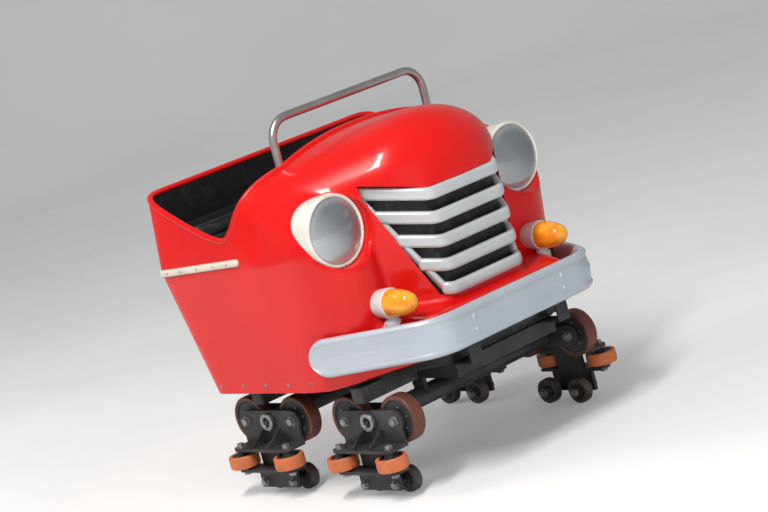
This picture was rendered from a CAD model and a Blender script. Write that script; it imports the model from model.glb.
# Lead car of a small family roller coaster: its pieces, finishes, light and camera.
# Lengths are in metres. place() takes X from the plane of the headlamp lenses.
import math

import bmesh
import bpy
from mathutils import Matrix, Vector
from mathutils.bvhtree import BVHTree


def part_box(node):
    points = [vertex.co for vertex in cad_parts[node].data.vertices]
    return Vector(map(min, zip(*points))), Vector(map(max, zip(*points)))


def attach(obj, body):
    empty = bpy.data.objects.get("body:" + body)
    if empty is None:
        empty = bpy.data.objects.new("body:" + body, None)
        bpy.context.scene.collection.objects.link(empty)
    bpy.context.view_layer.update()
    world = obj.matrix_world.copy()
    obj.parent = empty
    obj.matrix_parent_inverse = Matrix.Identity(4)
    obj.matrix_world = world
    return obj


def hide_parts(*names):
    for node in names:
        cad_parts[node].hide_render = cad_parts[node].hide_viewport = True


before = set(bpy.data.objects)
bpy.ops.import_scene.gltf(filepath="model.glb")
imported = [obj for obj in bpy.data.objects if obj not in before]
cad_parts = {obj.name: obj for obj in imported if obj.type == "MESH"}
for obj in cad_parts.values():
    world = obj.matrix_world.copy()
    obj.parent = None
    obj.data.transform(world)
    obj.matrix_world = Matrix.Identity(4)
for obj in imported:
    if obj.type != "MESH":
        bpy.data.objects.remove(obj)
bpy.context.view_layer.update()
print("frame loaded")

up = Vector((0, 0, 1))
forward = Vector((1, 0, 0))
left = Vector((0, 1, 0))
fullTurn = 2 * math.pi
sides = (1, -1)
corners = ("fl", "fr", "rl", "rr")
# How far apart pieces are kept that lie on each other, and a distance beyond the whole car
hair = 0.0003
far = 3.0

# The lamp plane and the headlamps' middles come from the frame
lampLip = 0.008
podLow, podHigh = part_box("headlamp_pods")
lampPlane = podHigh.x - lampLip
lampRadius = (podHigh.z - podLow.z) / 2
lampY = podHigh.y - lampRadius
lampZ = (podHigh.z + podLow.z) / 2


def place(x, y, z):
    return Vector((lampPlane + x, y, z))


def mirrored(point, side):
    return Vector((point.x, point.y * side, point.z))


# Finishes. Each has its values beside it, and reads Object coordinates. The roughness of each
# stays above 0.28 or below 0.25, because the denoiser draws rings where it crosses about 0.27.

def startMaterial(name):
    material = bpy.data.materials.new(name)
    material.use_nodes = True
    tree = material.node_tree
    shader = next(node for node in tree.nodes if node.type == "BSDF_PRINCIPLED")
    coordinates = tree.nodes.new("ShaderNodeTexCoord").outputs["Object"]
    return material, tree, shader, coordinates


def stretched(tree, coordinates, stretch):
    mapping = tree.nodes.new("ShaderNodeMapping")
    mapping.inputs["Scale"].default_value = stretch
    tree.links.new(coordinates, mapping.inputs["Vector"])
    return mapping.outputs["Vector"]


def noiseField(tree, coordinates, scale, detail=4.0, roughness=0.5, distortion=0.0):
    field = tree.nodes.new("ShaderNodeTexNoise")
    field.inputs["Scale"].default_value = scale
    field.inputs["Detail"].default_value = detail
    field.inputs["Roughness"].default_value = roughness
    field.inputs["Distortion"].default_value = distortion
    tree.links.new(coordinates, field.inputs["Vector"])
    return field.outputs["Fac"]


def cellField(tree, coordinates, scale, feature):
    field = tree.nodes.new("ShaderNodeTexVoronoi")
    field.feature = feature
    field.inputs["Scale"].default_value = scale
    tree.links.new(coordinates, field.inputs["Vector"])
    return field.outputs["Distance"]


def spread(tree, value, low, high, newLow=0.0, newHigh=1.0, smooth=False):
    node = tree.nodes.new("ShaderNodeMapRange")
    node.interpolation_type = "SMOOTHSTEP" if smooth else "LINEAR"
    node.inputs["From Min"].default_value = low
    node.inputs["From Max"].default_value = high
    node.inputs["To Min"].default_value = newLow
    node.inputs["To Max"].default_value = newHigh
    tree.links.new(value, node.inputs["Value"])
    return node.outputs["Result"]


def blendColours(tree, share, first, second):
    node = tree.nodes.new("ShaderNodeMix")
    node.data_type = "RGBA"
    tree.links.new(share, node.inputs["Factor"])
    for socket, colour in ((node.inputs["A"], first), (node.inputs["B"], second)):
        if isinstance(colour, (tuple, list)):
            socket.default_value = (*colour, 1.0)
        else:
            tree.links.new(colour, socket)
    return node.outputs["Result"]


def combine(tree, operation, first, second):
    node = tree.nodes.new("ShaderNodeMath")
    node.operation = operation
    for socket, value in zip(node.inputs, (first, second)):
        if isinstance(value, (int, float)):
            socket.default_value = value
        else:
            tree.links.new(value, socket)
    return node.outputs["Value"]


def heightOf(tree, coordinates):
    split = tree.nodes.new("ShaderNodeSeparateXYZ")
    tree.links.new(coordinates, split.inputs["Vector"])
    return split.outputs["Z"]


def relief(tree, shader, height, strength, distance, below=None):
    node = tree.nodes.new("ShaderNodeBump")
    node.inputs["Strength"].default_value = strength
    node.inputs["Distance"].default_value = distance
    tree.links.new(height, node.inputs["Height"])
    if below is not None:
        tree.links.new(below, node.inputs["Normal"])
    tree.links.new(node.outputs["Normal"], shader.inputs["Normal"])
    return node.outputs["Normal"]


def feed(tree, shader, colour, roughness, metal=0.0):
    tree.links.new(colour, shader.inputs["Base Color"])
    tree.links.new(roughness, shader.inputs["Roughness"])
    shader.inputs["Metallic"].default_value = metal


def glossCoat(shader, weight, roughness):
    shader.inputs["Coat Weight"].default_value = weight
    shader.inputs["Coat Roughness"].default_value = roughness


gelcoat = {
    "colour": (0.72, 0.0042, 0.0035),
    "deep": (0.64, 0.0032, 0.003),
    "sunBleached": (0.74, 0.010, 0.007),
    "dust": (0.50, 0.17, 0.12),
    "bleachHeights": (1.05, 1.35),
    "bleachShare": 0.35,
    "dustHeights": (0.62, 0.42),
    "dustShare": 0.06,
    "dustDulling": 1.6,
    "roughness": (0.285, 0.35),
    "specular": 0.32,
    "coat": (0.4, 0.05),
    "relief": (0.08, 0.004),
}


def gelcoatFinish():
    v = gelcoat
    material, tree, shader, where = startMaterial("redGelcoat")
    patches = noiseField(tree, where, 2.4, 3.0, 0.5)
    colour = blendColours(tree, spread(tree, patches, 0.3, 0.7, 0.0, 1.0, True), v["deep"], v["colour"])
    # The top of the hood has seen the most sun
    bleach = spread(tree, heightOf(tree, where), *v["bleachHeights"], 0.0, v["bleachShare"], True)
    colour = blendColours(tree, bleach, colour, v["sunBleached"])
    # Track dust gathers low on the sides in a soft film
    film = noiseField(tree, stretched(tree, where, (1.0, 1.0, 0.45)), 5.0, 3.0, 0.5)
    low = spread(tree, heightOf(tree, where), *v["dustHeights"], 0.0, 1.0, True)
    dusty = combine(tree, "MULTIPLY", spread(tree, film, 0.3, 0.75, 0.0, 1.0, True), low)
    dusty = combine(tree, "MULTIPLY", dusty, v["dustShare"])
    colour = blendColours(tree, dusty, colour, v["dust"])
    # Polishing marks vary the gloss
    swirl = noiseField(tree, where, 11.0, 3.0, 0.5, 0.8)
    gloss = spread(tree, swirl, 0.25, 0.75, *v["roughness"], True)
    gloss = combine(tree, "ADD", gloss, combine(tree, "MULTIPLY", dusty, v["dustDulling"]))
    feed(tree, shader, colour, gloss)
    shader.inputs["Specular IOR Level"].default_value = v["specular"]
    glossCoat(shader, *v["coat"])
    relief(tree, shader, noiseField(tree, where, 5.0, 1.0, 0.3), *v["relief"])
    return material


# Most finishes are a colour under layers. A layer is its colour, the noise that lays it on (scale,
# detail, roughness), the span of that noise over which it comes in, and its greatest share.
# "gloss" is the layer whose noise drives the roughness, its span, and the roughness at both ends.
# Each relief is a noise, the noise of a layer, or a cell pattern, with its strength and distance.
def layeredFinish(name, v):
    material, tree, shader, where = startMaterial(name)
    ground = stretched(tree, where, v["stretch"]) if "stretch" in v else where
    colour, fields = v["colour"], []
    for tint, noise, span, share in v["layers"]:
        fields.append(noiseField(tree, ground, *noise))
        cover = spread(tree, fields[-1], *span, 0.0, share)
        colour = blendColours(tree, cover, colour, tint)
    layer, *gloss = v["gloss"]
    feed(tree, shader, colour, spread(tree, fields[layer], *gloss))
    for socket, value in v.get("sockets", {}).items():
        shader.inputs[socket].default_value = value
    if "topMetal" in v:
        tree.links.new(combine(tree, "MULTIPLY", cover, v["topMetal"]), shader.inputs["Metallic"])
    below = None
    for kind, values, strength, distance in v["relief"]:
        if kind == "noise":
            height = noiseField(tree, where, *values)
        elif kind == "layer":
            height = fields[values]
        else:
            height = cellField(tree, where, values, kind)
        below = relief(tree, shader, height, strength, distance, below)
    return material


# The layer is scuffs
blackMoulding = {
    "colour": (0.012, 0.012, 0.013), "stretch": (3.0, 1.0, 1.0),
    "layers": [((0.045, 0.044, 0.044), (14.0, 9.0, 0.68), (0.52, 0.74), 1.0)],
    "gloss": (0, 0.3, 0.7, 0.62, 0.44),
    "relief": [("F1", 620.0, 0.35, 0.0004)],
}
# The layer is rubbed places. Folds lie under the pebbled grain.
blackVinyl = {
    "colour": (0.014, 0.014, 0.016),
    "layers": [((0.04, 0.04, 0.043), (6.0, 5.0, 0.6), (0.4, 0.75), 1.0)],
    "gloss": (0, 0.35, 0.7, 0.5, 0.33),
    "sockets": {"Sheen Weight": 0.12, "Sheen Roughness": 0.4},
    "relief": [("noise", (38.0, 4.0, 0.6, 0.6), 0.16, 0.002), ("DISTANCE_TO_EDGE", 420.0, 0.4, 0.0005)],
}


silverPaint = {
    "colour": (0.66, 0.68, 0.69),
    "shade": (0.52, 0.54, 0.55),
    "grime": (0.16, 0.15, 0.14),
    "metal": 0.25,
    "roughness": (0.29, 0.4),
    "fleckRange": (0.68, 0.84),
    "fleckShare": 0.35,
    "coat": (0.35, 0.08),
}
bumperPaint = {
    "colour": (0.53, 0.58, 0.635),
    "shade": (0.47, 0.515, 0.57),
    "grime": (0.24, 0.25, 0.26),
    "metal": 0.25,
    "roughness": (0.285, 0.34),
    "fleckRange": (0.76, 0.88),
    "fleckShare": 0.2,
    "coat": (0.35, 0.08),
}


def paleMetalFinish(name, v):
    material, tree, shader, where = startMaterial(name)
    cloud = noiseField(tree, where, 4.0, 2.0, 0.5)
    colour = blendColours(tree, spread(tree, cloud, 0.2, 0.8, 0.0, 1.0, True), v["shade"], v["colour"])
    # Chips and insect marks show as small dark flecks
    flecks = noiseField(tree, where, 75.0, 6.0, 0.75)
    fleckShare = spread(tree, flecks, *v["fleckRange"], 0.0, v["fleckShare"], True)
    colour = blendColours(tree, fleckShare, colour, v["grime"])
    smear = noiseField(tree, where, 5.0, 2.0, 0.5)
    feed(tree, shader, colour, spread(tree, smear, 0.2, 0.8, *v["roughness"], True), v["metal"])
    glossCoat(shader, *v["coat"])
    return material


# Age yellows it in clouds, and dirt leaves specks
def palePlastic(colour, yellowed, coat):
    return {
        "colour": colour,
        "layers": [(yellowed, (11.0, 5.0, 0.6), (0.42, 0.78), 1.0),
                   ((0.2, 0.17, 0.13), (130.0, 3.0, 0.6), (0.70, 0.80), 0.6)],
        "gloss": (0, 0.3, 0.7, 0.29, 0.38),
        "sockets": {"Coat Weight": coat, "Coat Roughness": 0.06},
        "relief": [("noise", (160.0, 2.0, 0.5), 0.06, 0.0006)],
    }


lensGlass = {
    "colour": (0.20, 0.225, 0.24), "bright": (0.44, 0.475, 0.49), "edge": (0.50, 0.52, 0.52),
    "edgeFrom": 0.66, "edgeTo": 0.9, "edgeShare": 0.55, "metal": 0.35, "roughness": (0.14, 0.2),
    "coat": (1.0, 0.03), "flutes": 620.0, "relief": (0.16, 0.0006),
}


def lensFinish():
    v = lensGlass
    material, tree, shader, where = startMaterial("lensGrey")
    split = tree.nodes.new("ShaderNodeSeparateXYZ")
    tree.links.new(where, split.inputs["Vector"])
    side = combine(tree, "MULTIPLY", combine(tree, "SIGN", split.outputs["Y"], 0.0), lampY)
    across = combine(tree, "SUBTRACT", split.outputs["Y"], side)
    rise = combine(tree, "SUBTRACT", split.outputs["Z"], lampZ)
    # The bowl behind the glass is darkest high up and on one side, and pale at its rim
    slope = combine(tree, "ADD", across, combine(tree, "MULTIPLY", rise, 0.9))
    shade = spread(tree, slope, -0.13, 0.07, 0.0, 1.0, True)
    colour = blendColours(tree, shade, v["bright"], v["colour"])
    squares = [combine(tree, "MULTIPLY", part, part) for part in (across, rise)]
    reach = combine(tree, "POWER", combine(tree, "ADD", *squares), 0.5)
    rim = (lampRadius * v["edgeFrom"], lampRadius * v["edgeTo"])
    colour = blendColours(tree, spread(tree, reach, *rim, 0.0, v["edgeShare"], True), colour, v["edge"])
    haze = noiseField(tree, where, 9.0, 2.0, 0.4)
    feed(tree, shader, colour, spread(tree, haze, 0.3, 0.7, *v["roughness"]), v["metal"])
    glossCoat(shader, *v["coat"])
    flutes = combine(tree, "SINE", combine(tree, "MULTIPLY", split.outputs["Y"], v["flutes"]), 0.0)
    relief(tree, shader, flutes, *v["relief"])
    return material


amberLens = {
    "colour": (0.90, 0.27, 0.012),
    "layers": [((1.0, 0.45, 0.03), (22.0, 3.0, 0.5), (0.35, 0.65), 1.0)],
    "gloss": (0, 0.3, 0.7, 0.12, 0.24),
    "sockets": {
        "Subsurface Weight": 0.25, "Subsurface Radius": (0.03, 0.012, 0.004),
        "Coat Weight": 0.8, "Coat Roughness": 0.04,
    },
    "relief": [("F1", 300.0, 0.12, 0.0008)],
}
tubeSteel = {
    "colour": (0.46, 0.455, 0.44), "worn": (0.62, 0.61, 0.59), "rust": (0.22, 0.11, 0.06),
    "rustShare": 0.5, "metal": 0.9, "roughness": (0.285, 0.42), "relief": (0.08, 0.0003),
}


def tubeSteelFinish():
    v = tubeSteel
    material, tree, shader, where = startMaterial("barSteel")
    handled = noiseField(tree, where, 9.0, 6.0, 0.6)
    colour = blendColours(tree, spread(tree, handled, 0.38, 0.68), v["colour"], v["worn"])
    spots = noiseField(tree, where, 60.0, 8.0, 0.7)
    colour = blendColours(tree, spread(tree, spots, 0.68, 0.78, 0.0, v["rustShare"]), colour, v["rust"])
    brushed = noiseField(tree, stretched(tree, where, (1.0, 1.0, 24.0)), 90.0, 4.0, 0.6)
    feed(tree, shader, colour, spread(tree, brushed, 0.3, 0.7, *v["roughness"]), v["metal"])
    relief(tree, shader, brushed, *v["relief"])
    return material


# Faded paint, dust, and chips down to bare metal
blackSteel = {
    "colour": (0.016, 0.016, 0.018),
    "layers": [
        ((0.05, 0.05, 0.054), (8.0, 5.0, 0.6), (0.35, 0.7), 1.0),
        ((0.17, 0.14, 0.11), (26.0, 8.0, 0.68), (0.56, 0.8), 0.55),
        ((0.30, 0.29, 0.28), (120.0, 5.0, 0.7), (0.69, 0.72), 0.8),
    ],
    "topMetal": 0.8,
    "gloss": (1, 0.3, 0.75, 0.34, 0.66),
    "relief": [("noise", (190.0, 4.0, 0.6), 0.16, 0.0006)],
}
# The layer is oil
ringSteel = {
    "colour": (0.36, 0.36, 0.36),
    "layers": [((0.13, 0.125, 0.12), (45.0, 6.0, 0.65), (0.45, 0.75), 1.0)],
    "gloss": (0, 0.3, 0.7, 0.3, 0.5),
    "sockets": {"Metallic": 0.85},
    "relief": [("noise", (420.0, 3.0, 0.5), 0.1, 0.0003)],
}


def tread(colour, rolled, crumbs):
    return {
        "colour": colour,
        "layers": [(rolled, (20.0, 5.0, 0.6), (0.38, 0.7), 1.0),
                   (crumbs, (170.0, 6.0, 0.7), (0.6, 0.74), 0.75)],
        "gloss": (0, 0.3, 0.7, 0.38, 0.56),
        "relief": [("layer", 1, 0.22, 0.0006)],
    }


layered = {
    "moulding": ("blackMoulding", blackMoulding),
    "vinyl": ("blackVinyl", blackVinyl),
    "cream": ("lampCream", palePlastic((0.78, 0.76, 0.69), (0.66, 0.62, 0.52), 0.6)),
    "white": ("signalWhite", palePlastic((0.70, 0.74, 0.75), (0.60, 0.62, 0.6), 0.6)),
    "strip": ("trimWhite", palePlastic((0.70, 0.64, 0.55), (0.52, 0.46, 0.38), 0.1)),
    "amber": ("amber", amberLens),
    "frame": ("blackSteel", blackSteel),
    "ring": ("ringSteel", ringSteel),
    "guide": ("orangeTread", tread((0.66, 0.165, 0.05), (0.44, 0.13, 0.05), (0.07, 0.045, 0.035))),
    "run": ("brownTread", tread((0.155, 0.045, 0.026), (0.085, 0.032, 0.022), (0.03, 0.024, 0.02))),
    "upstop": ("darkTread", tread((0.045, 0.04, 0.036), (0.085, 0.075, 0.066), (0.02, 0.018, 0.016))),
}
finish = {
    "red": gelcoatFinish(),
    "silver": paleMetalFinish("silverPaint", silverPaint),
    "bumper": paleMetalFinish("bumperPaint", bumperPaint),
    "lens": lensFinish(),
    "tube": tubeSteelFinish(),
}
finish |= {key: layeredFinish(*row) for key, row in layered.items()}
print("finishes made")


# Tools for making pieces

def makePiece(name, bm, body, finishes, replaced=(), creaseAngle=35):
    mesh = bpy.data.meshes.new(name)
    bm.to_mesh(mesh)
    bm.free()
    return dressPiece(name, mesh, body, finishes, replaced, creaseAngle)


# Gives a mesh its finishes and keeps which face has which
def setFinishes(mesh, finishes):
    chosen = [polygon.material_index for polygon in mesh.polygons]
    mesh.materials.clear()
    for key in finishes:
        mesh.materials.append(finish[key])
    mesh.polygons.foreach_set("material_index", [min(index, len(finishes) - 1) for index in chosen])
    mesh.update()


def dressPiece(name, mesh, body, finishes, replaced=(), creaseAngle=35):
    setFinishes(mesh, finishes)
    mesh.shade_smooth()
    mesh.set_sharp_from_angle(angle=math.radians(creaseAngle))
    piece = bpy.data.objects.new(name, mesh)
    bpy.context.scene.collection.objects.link(piece)
    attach(piece, body)
    if replaced:
        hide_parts(*replaced)
    return piece


def temporary(name, bm):
    mesh = bpy.data.meshes.new(name)
    bm.to_mesh(mesh)
    bm.free()
    helper = bpy.data.objects.new(name, mesh)
    bpy.context.scene.collection.objects.link(helper)
    return helper


def discard(*helpers):
    for helper in helpers:
        data = helper.data
        bpy.data.objects.remove(helper)
        if data.users == 0:
            (bpy.data.curves if isinstance(data, bpy.types.Curve) else bpy.data.meshes).remove(data)


def applyModifiers(thing):
    graph = bpy.context.evaluated_depsgraph_get()
    mesh = bpy.data.meshes.new_from_object(thing.evaluated_get(graph))
    old = thing.data
    thing.modifiers.clear()
    thing.data = mesh
    bpy.data.meshes.remove(old)


def tidy(bm, distance=0.00002):
    bmesh.ops.remove_doubles(bm, verts=bm.verts, dist=distance)
    bmesh.ops.recalc_face_normals(bm, faces=bm.faces)


def aim(direction, origin):
    return Matrix.Translation(origin) @ up.rotation_difference(direction).to_matrix().to_4x4()


# The faces made since before was taken get one material
def setNewFaces(bm, before, material):
    for face in bm.faces:
        if face not in before:
            face.material_index = material


def addBox(bm, centre, size, material=0):
    before = set(bm.faces)
    matrix = Matrix.Translation(centre) @ Matrix.Diagonal((*size, 1))
    verts = bmesh.ops.create_cube(bm, size=1, matrix=matrix)["verts"]
    setNewFaces(bm, before, material)
    return {face for vert in verts for face in vert.link_faces}


# A profile of (radius, distance along the axis) spun round an axis. It starts and ends on the
# axis, or comes back to its first point.
def revolve(bm, profile, origin, axis, steps, material=0):
    before = set(bm.faces)
    turn = aim(axis, origin)
    chain = [bm.verts.new(turn @ Vector((r, 0, t))) for r, t in profile]
    edges = [bm.edges.new(pair) for pair in zip(chain, chain[1:])]
    bmesh.ops.spin(
        bm, geom=chain + edges, cent=origin, axis=axis, dvec=(0, 0, 0),
        angle=fullTurn, steps=steps, use_merge=True, use_duplicate=False)
    setNewFaces(bm, before, material)


def arcPoints(centre, radius, start, end, steps):
    angles = [math.radians(start + (end - start) * i / steps) for i in range(steps + 1)]
    return [(centre[0] + radius * math.cos(a), centre[1] + radius * math.sin(a)) for a in angles]


# Rounds the inner corners of a path of points with arcs of straight chords
def roundPath(points, radius, steps=8):
    path = [points[0]]
    for before, corner, after in zip(points, points[1:], points[2:]):
        enter = (before - corner).normalized()
        leave = (after - corner).normalized()
        half = enter.angle(leave) / 2
        nearest = min((before - corner).length, (after - corner).length)
        reach = min(radius / math.tan(half), 0.45 * nearest)
        first, last = corner + enter * reach, corner + leave * reach
        for i in range(steps + 1):
            t = i / steps
            path.append(first * (1 - t) ** 2 + corner * 2 * t * (1 - t) + last * t ** 2)
    path.append(points[-1])
    return path


def stationsAlong(path, upward, scales=None):
    stations = []
    for i, point in enumerate(path):
        tangent = (path[min(i + 1, len(path) - 1)] - path[max(i - 1, 0)]).normalized()
        side = tangent.cross(upward).normalized()
        top = side.cross(tangent).normalized()
        turn = Matrix((side, top, tangent)).transposed().to_4x4()
        size = Matrix.Scale(1, 4) if scales is None else Matrix.Diagonal((*scales[i], 1, 1))
        stations.append(Matrix.Translation(point) @ turn @ size)
    return stations


# Sweeps a rounded section, width by height, through the stations and closes both ends
def sweep(bm, stations, width, height, roundness=2.0, segments=20, material=0, section=None):
    outline = bmesh.ops.create_circle(bm, segments=segments, radius=1, cap_ends=False)["verts"]
    for vert in outline:
        for axis, size in ((0, width), (1, height)):
            value = vert.co[axis]
            vert.co[axis] = math.copysign(abs(value) ** (2 / roundness), value) * size / 2
        if section:
            vert.co = section(vert.co)
    ring = [edge for edge in {e for v in outline for e in v.link_edges}]
    bmesh.ops.transform(bm, matrix=stations[0], verts=outline)
    startCap = bmesh.ops.contextual_create(bm, geom=ring)["faces"]
    faces = list(startCap)
    for before, after in zip(stations, stations[1:]):
        made = bmesh.ops.extrude_edge_only(bm, edges=ring)["geom"]
        fresh = {part for part in made if isinstance(part, bmesh.types.BMVert)}
        faces += [part for part in made if isinstance(part, bmesh.types.BMFace)]
        ring = [part for part in made if isinstance(part, bmesh.types.BMEdge)
                and part.verts[0] in fresh and part.verts[1] in fresh]
        bmesh.ops.transform(bm, matrix=after @ before.inverted(), verts=list(fresh))
    faces += bmesh.ops.contextual_create(bm, geom=ring)["faces"]
    for face in faces:
        face.material_index = material


def limited(share):
    return max(0.0, min(1.0, share))


# Scales that round off the two ends of a sweep over a given reach
def endScales(path, reach, smallest=0.06):
    along = [0.0]
    for a, b in zip(path, path[1:]):
        along.append(along[-1] + (b - a).length)
    total = along[-1]
    scales = []
    for s in along:
        gap = max(0.0, 1 - min(s, total - s) / reach)
        share = max(smallest, math.sqrt(max(0.0, 1 - gap * gap)))
        scales.append((0.35 + 0.65 * share, share))
    return scales


# Adds closely spaced points near both ends of a path, so that the rounding is smooth
def denseEnds(path, reach, steps):
    def walk(points):
        out = [points[0]]
        direction = (points[1] - points[0]).normalized()
        for i in range(1, steps + 1):
            share = 1 - math.cos(math.pi / 2 * i / steps)
            out.append(points[0] + direction * reach * share)
        return out
    return walk(path) + path[1:-1] + walk(path[::-1])[::-1]


# Sweeps a section along a path and rounds off both ends
def roundedSweep(bm, path, reach, endSteps, width, height, roundness, segments,
                 smallest=0.06, section=None):
    dense = denseEnds(path, reach, endSteps)
    stations = stationsAlong(dense, up, endScales(dense, reach, smallest))
    sweep(bm, stations, width, height, roundness, segments, 0, section)


# Each row is the sides, the two radii, the depth and the middle's height, over the bolt's size
boltHead = {
    "thick": 0.16, "washer": (20, 1.06, 1.0, 0.16, 0.08),
    "rows": ((6, 0.86, 0.84, 0.62, 0.31), (12, 0.7, 0.56, 0.1, 0.66)),
}


def hexBolt(bm, seatPoint, axis, size, material=0, washer=True):
    before = set(bm.faces)
    turn = aim(axis, seatPoint)
    thick = size * boltHead["thick"] if washer else 0
    parts = [(0, boltHead["washer"])] if washer else []
    parts += [(thick, row) for row in boltHead["rows"]]
    for start, (segments, lower, upper, depth, middle) in parts:
        bmesh.ops.create_cone(
            bm, cap_ends=True, segments=segments, radius1=size * lower, radius2=size * upper,
            depth=size * depth, matrix=turn @ Matrix.Translation((0, 0, start + size * middle)))
    setNewFaces(bm, before, material)


def sampleSphere():
    bm = bmesh.new()
    bmesh.ops.create_icosphere(bm, subdivisions=4, radius=1)
    points = [vert.co.copy() for vert in bm.verts]
    bm.free()
    return points


spherePoints = sampleSphere()


def ballPoints(centre, radius, stretch=(1, 1, 1)):
    return [centre + Vector(a * b for a, b in zip(p, stretch)) * radius for p in spherePoints]


def ballAt(x, y, z, radius):
    return ballPoints(place(x, y, z), radius)


def addHull(bm, points):
    fresh = [bm.verts.new(point) for point in points]
    bmesh.ops.convex_hull(bm, input=fresh, use_existing_faces=False)
    loose = [vert for vert in fresh if vert.is_valid and not vert.link_faces]
    bmesh.ops.delete(bm, geom=loose, context="VERTS")


# An outline in X and Z, drawn out across the whole width
def addPrism(bm, outline, reach, material=0):
    verts = [bm.verts.new((x, -reach, z)) for x, z in outline]
    face = bm.faces.new(verts)
    made = bmesh.ops.extrude_face_region(bm, geom=[face])["geom"]
    moved = [part for part in made if isinstance(part, bmesh.types.BMVert)]
    bmesh.ops.translate(bm, vec=(0, 2 * reach, 0), verts=moved)
    bmesh.ops.recalc_face_normals(bm, faces=bm.faces)
    for part in bm.faces:
        part.material_index = material


def cut(target, cutter):
    change = target.modifiers.new("cut", "BOOLEAN")
    change.operation = "DIFFERENCE"
    change.solver = "MANIFOLD"
    change.object = cutter
    applyModifiers(target)


# Body skin: the cockpit and nose mouldings as one smooth skin

bodyShape = {
    "halfWidth": 0.635, "sillHalfWidth": 0.590, "sill": 0.423, "belt": 0.925,
    "corner": 0.070, "cowl": -0.290, "cowlTop": 1.300, "arch": 0.240, "archIn": 0.030,
    "band": 0.030, "rearTop": -0.885, "rearBelt": -0.925, "rearSill": -0.815, "rimIn": 0.018,
    "rimRear": 1.225, "rimLow": 1.030, "rimLowX": -0.460, "rimFront": 1.240,
    "voxel": 0.0105, "smoothing": 12, "wall": 0.012,
    "notchGap": 0.0015, "notchBack": 0.022, "notchDepth": 0.4, "notchSmoothing": 2, "fairing": 14,
    "fairingSteps": (0.5, -0.53), "pocketFront": -0.22, "cutWidth": 2.0, "weld": 0.0004,
}
noseShape = {
    "fenderRadius": 0.172, "fenderX": -0.104, "fenderDrop": 0.060, "fenderIn": 0.002,
    "fenderLowRadius": 0.160, "fenderLowX": -0.105, "fenderLow": 0.640, "fenderWidth": 0.375,
    "tuck": 0.030, "hoodRadius": 0.210, "hood": 1.330, "edge": 0.024,
    "apronX": 0.275, "apron": 0.486, "apronTop": 0.630, "apronY": 0.330, "apronEdge": 0.050,
    "apronRadius": 0.120, "apronBackX": -0.150,
}
grilleShape = {
    "front": 0.225, "halfWidth": 0.176, "back": 0.2207, "out": 0.158, "rise": 0.060, "proud": 0.021,
    "low": 0.679, "high": 1.040, "foot": 0.1, "barHeight": 0.048, "barDepth": 0.034,
    "recess": 0.040, "clear": 0.002, "bars": 5, "overlap": 0.001,
    "kneeRadius": 0.05, "cheekRadius": 0.0119, "cheekDeep": 0.011,
}


# The section at the cowl in Y and Z: all of it, or what lies further out than lowest
def cowlSection(lowest=None):
    v = bodyShape
    points = []
    steps = 40
    for i in range(steps + 1):
        angle = math.pi * i / steps
        points.append((math.cos(angle) * (v["halfWidth"] - v["archIn"]),
                       v["cowlTop"] - v["arch"] + math.sin(angle) * v["arch"]))
    for side in sides:
        points += [(side * (v["halfWidth"] - v["corner"]) + v["corner"] * math.cos(a),
                    v["belt"] + v["corner"] * math.sin(a))
                   for a in (fullTurn * i / 32 for i in range(32))]
        points.append((side * v["sillHalfWidth"], v["sill"] - v["corner"]))
    if lowest is not None:
        cutTop = math.sqrt(1 - (lowest / (v["halfWidth"] - v["archIn"])) ** 2) * v["arch"]
        points = [p for p in points if p[0] > lowest]
        points += [(lowest, v["cowlTop"] - v["arch"] + cutTop), (lowest, v["sill"] - v["corner"])]
    return points


def slabPoints(section, x0, x1, side=1):
    return [place(x, y * side, z) for x in (x0, x1) for y, z in section]


def tubPoints():
    v = bodyShape
    points = slabPoints(cowlSection(), v["cowl"] - 0.001, v["cowl"])
    rows = (
        (v["rearTop"], v["halfWidth"] - v["rimIn"], v["cowlTop"] + v["corner"]),
        (v["rearTop"], v["halfWidth"] - v["rimIn"], v["rimRear"]),
        (v["rearBelt"], v["halfWidth"], v["belt"]),
        (v["rearSill"], v["sillHalfWidth"], v["sill"] - v["corner"]),
    )
    for x, y, z in rows:
        for side in sides:
            points += ballAt(x + v["corner"], side * (y - v["corner"]), z, v["corner"])
    return points


def fenderPoints(side):
    v, n = bodyShape, noseShape
    section = cowlSection(v["halfWidth"] - n["fenderWidth"])
    points = slabPoints(section, v["cowl"], v["cowl"] + v["band"], side)
    shoulderY = v["halfWidth"] - n["fenderIn"] - n["fenderRadius"]
    lowY = v["sillHalfWidth"] - n["tuck"] - n["fenderLowRadius"]
    points += ballAt(n["fenderX"], side * shoulderY, lampZ - n["fenderDrop"], n["fenderRadius"])
    for z in (n["fenderLow"], v["sill"] - n["fenderLowRadius"] / 4):
        points += ballAt(n["fenderLowX"], side * lowY, z, n["fenderLowRadius"])
    return points


def prowPoints():
    v, n, g = bodyShape, noseShape, grilleShape
    points = slabPoints(cowlSection(), v["cowl"], v["cowl"] + v["band"])
    centre = place(g["front"] - v["wall"] / 2 - n["hoodRadius"], 0, n["hood"] - n["hoodRadius"])
    points += ballPoints(centre, n["hoodRadius"], (1, (g["halfWidth"] + g["out"]) / n["hoodRadius"], 1))
    faceX = g["front"] - g["proud"] - n["edge"]
    tipY = g["halfWidth"] + g["out"] - n["edge"] * 2 / 3
    for side in sides:
        for z in (g["low"] - n["edge"] / 2, g["high"]):
            points += ballAt(faceX, side * (g["halfWidth"] - n["edge"] / 2), z, n["edge"])
        tipX, tipZ = g["front"] - g["back"] - n["edge"], g["high"] + g["rise"] - n["edge"] * 2 / 3
        points += ballAt(tipX, side * tipY, tipZ, n["edge"])
        lowZ = n["apronTop"] - n["apronEdge"]
        points += ballAt(n["apronBackX"], side * (tipY - n["edge"]), lowZ, n["apronEdge"])
    return points


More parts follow.
